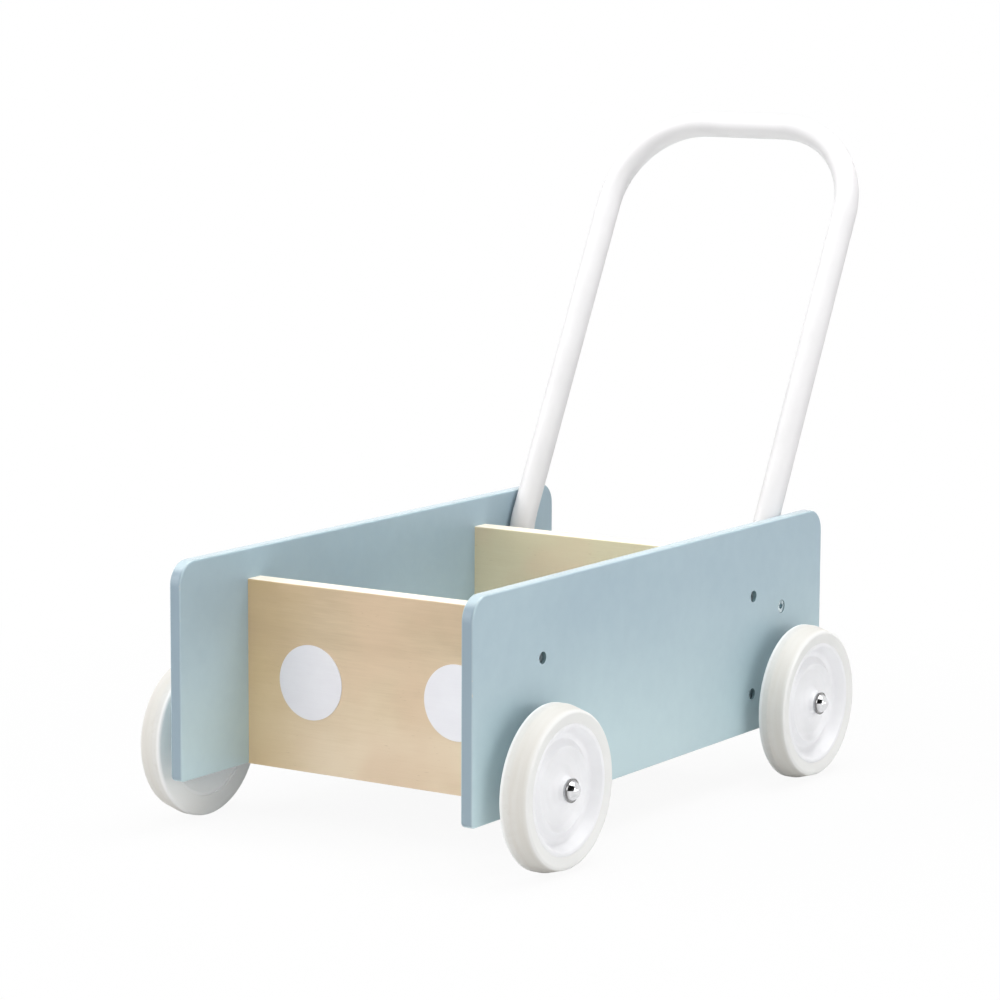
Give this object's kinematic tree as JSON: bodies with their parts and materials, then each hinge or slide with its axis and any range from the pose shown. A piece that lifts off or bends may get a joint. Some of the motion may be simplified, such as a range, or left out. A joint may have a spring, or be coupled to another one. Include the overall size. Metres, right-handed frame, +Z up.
{
  "type": "baby push walker",
  "caption": "Wooden baby push walker: open cargo box with painted sides and plywood ends, on plain wheels, pushed by a leaning bent tube handle.",
  "frame": {"origin": "on the ground under the middle of the walker's bounding box", "axes": "+Z up, -Y towards the front, +Y towards the handle, +X towards the left side as pushed"},
  "size_m": [0.3214, 0.5562, 0.461],
  "materials": {
    "blue_paint": "satin pale blue-grey paint on board",
    "plywood": "clear matt lacquer on pale plywood",
    "batten_wood": "planed, unfinished",
    "white_paint": "flat white paint disc",
    "zinc_screw": "bright zinc plate",
    "white_powder_coat": "smooth white powder coat on steel tube",
    "white_fittings": "moulded white plastic",
    "chrome": "polished chrome plate",
    "axle_steel": "turned steel",
    "hub_plastic": "moulded white plastic, satin",
    "tyre_rubber": "soft matt white rubber"
  },
  "bodies": {
    "frame": {"side_panel_left": "blue_paint", "side_panel_right": "blue_paint", "front_panel": "plywood", "rear_panel": "plywood", "floor_panel": "white_paint", "floor_cleat_left": "batten_wood", "floor_cleat_right": "batten_wood", "front_discs": "white_paint", "front_panel_screws": "zinc_screw", "rear_panel_screws": "zinc_screw", "cleat_screws": "zinc_screw", "floor_screws": "zinc_screw", "axle_flange_screws": "zinc_screw", "handle_tube": "white_powder_coat", "handle_end_plugs": "white_fittings", "handle_saddles": "white_fittings", "nut_saddles": "white_fittings", "handle_bolts": "chrome", "handle_cap_nuts": "chrome", "axle_caps": "chrome", "stub_axle_front_left": "axle_steel", "stub_axle_front_right": "axle_steel", "stub_axle_rear_left": "axle_steel", "stub_axle_rear_right": "axle_steel", "inner_washers": "axle_steel", "outer_washers": "axle_steel"},
    "wheel_front_left": {"hub_front_left": "hub_plastic", "tyre_front_left": "tyre_rubber"},
    "wheel_front_right": {"hub_front_right": "hub_plastic", "tyre_front_right": "tyre_rubber"},
    "wheel_rear_left": {"hub_rear_left": "hub_plastic", "tyre_rear_left": "tyre_rubber"},
    "wheel_rear_right": {"hub_rear_right": "hub_plastic", "tyre_rear_right": "tyre_rubber"}
  },
  "joints": [
    {"name": "front_left_roll", "type": "hinge", "parent": "frame", "child": "wheel_front_left", "pos_m": [0.14475, -0.21668, 0.0545], "axis": [1, 0, 0], "continuous": true},
    {"name": "front_right_roll", "type": "hinge", "parent": "frame", "child": "wheel_front_right", "pos_m": [-0.14475, -0.21668, 0.0545], "axis": [1, 0, 0], "continuous": true},
    {"name": "rear_left_roll", "type": "hinge", "parent": "frame", "child": "wheel_rear_left", "pos_m": [0.14475, 0.11413, 0.0545], "axis": [1, 0, 0], "continuous": true},
    {"name": "rear_right_roll", "type": "hinge", "parent": "frame", "child": "wheel_rear_right", "pos_m": [-0.14475, 0.11413, 0.0545], "axis": [1, 0, 0], "continuous": true}
  ]
}
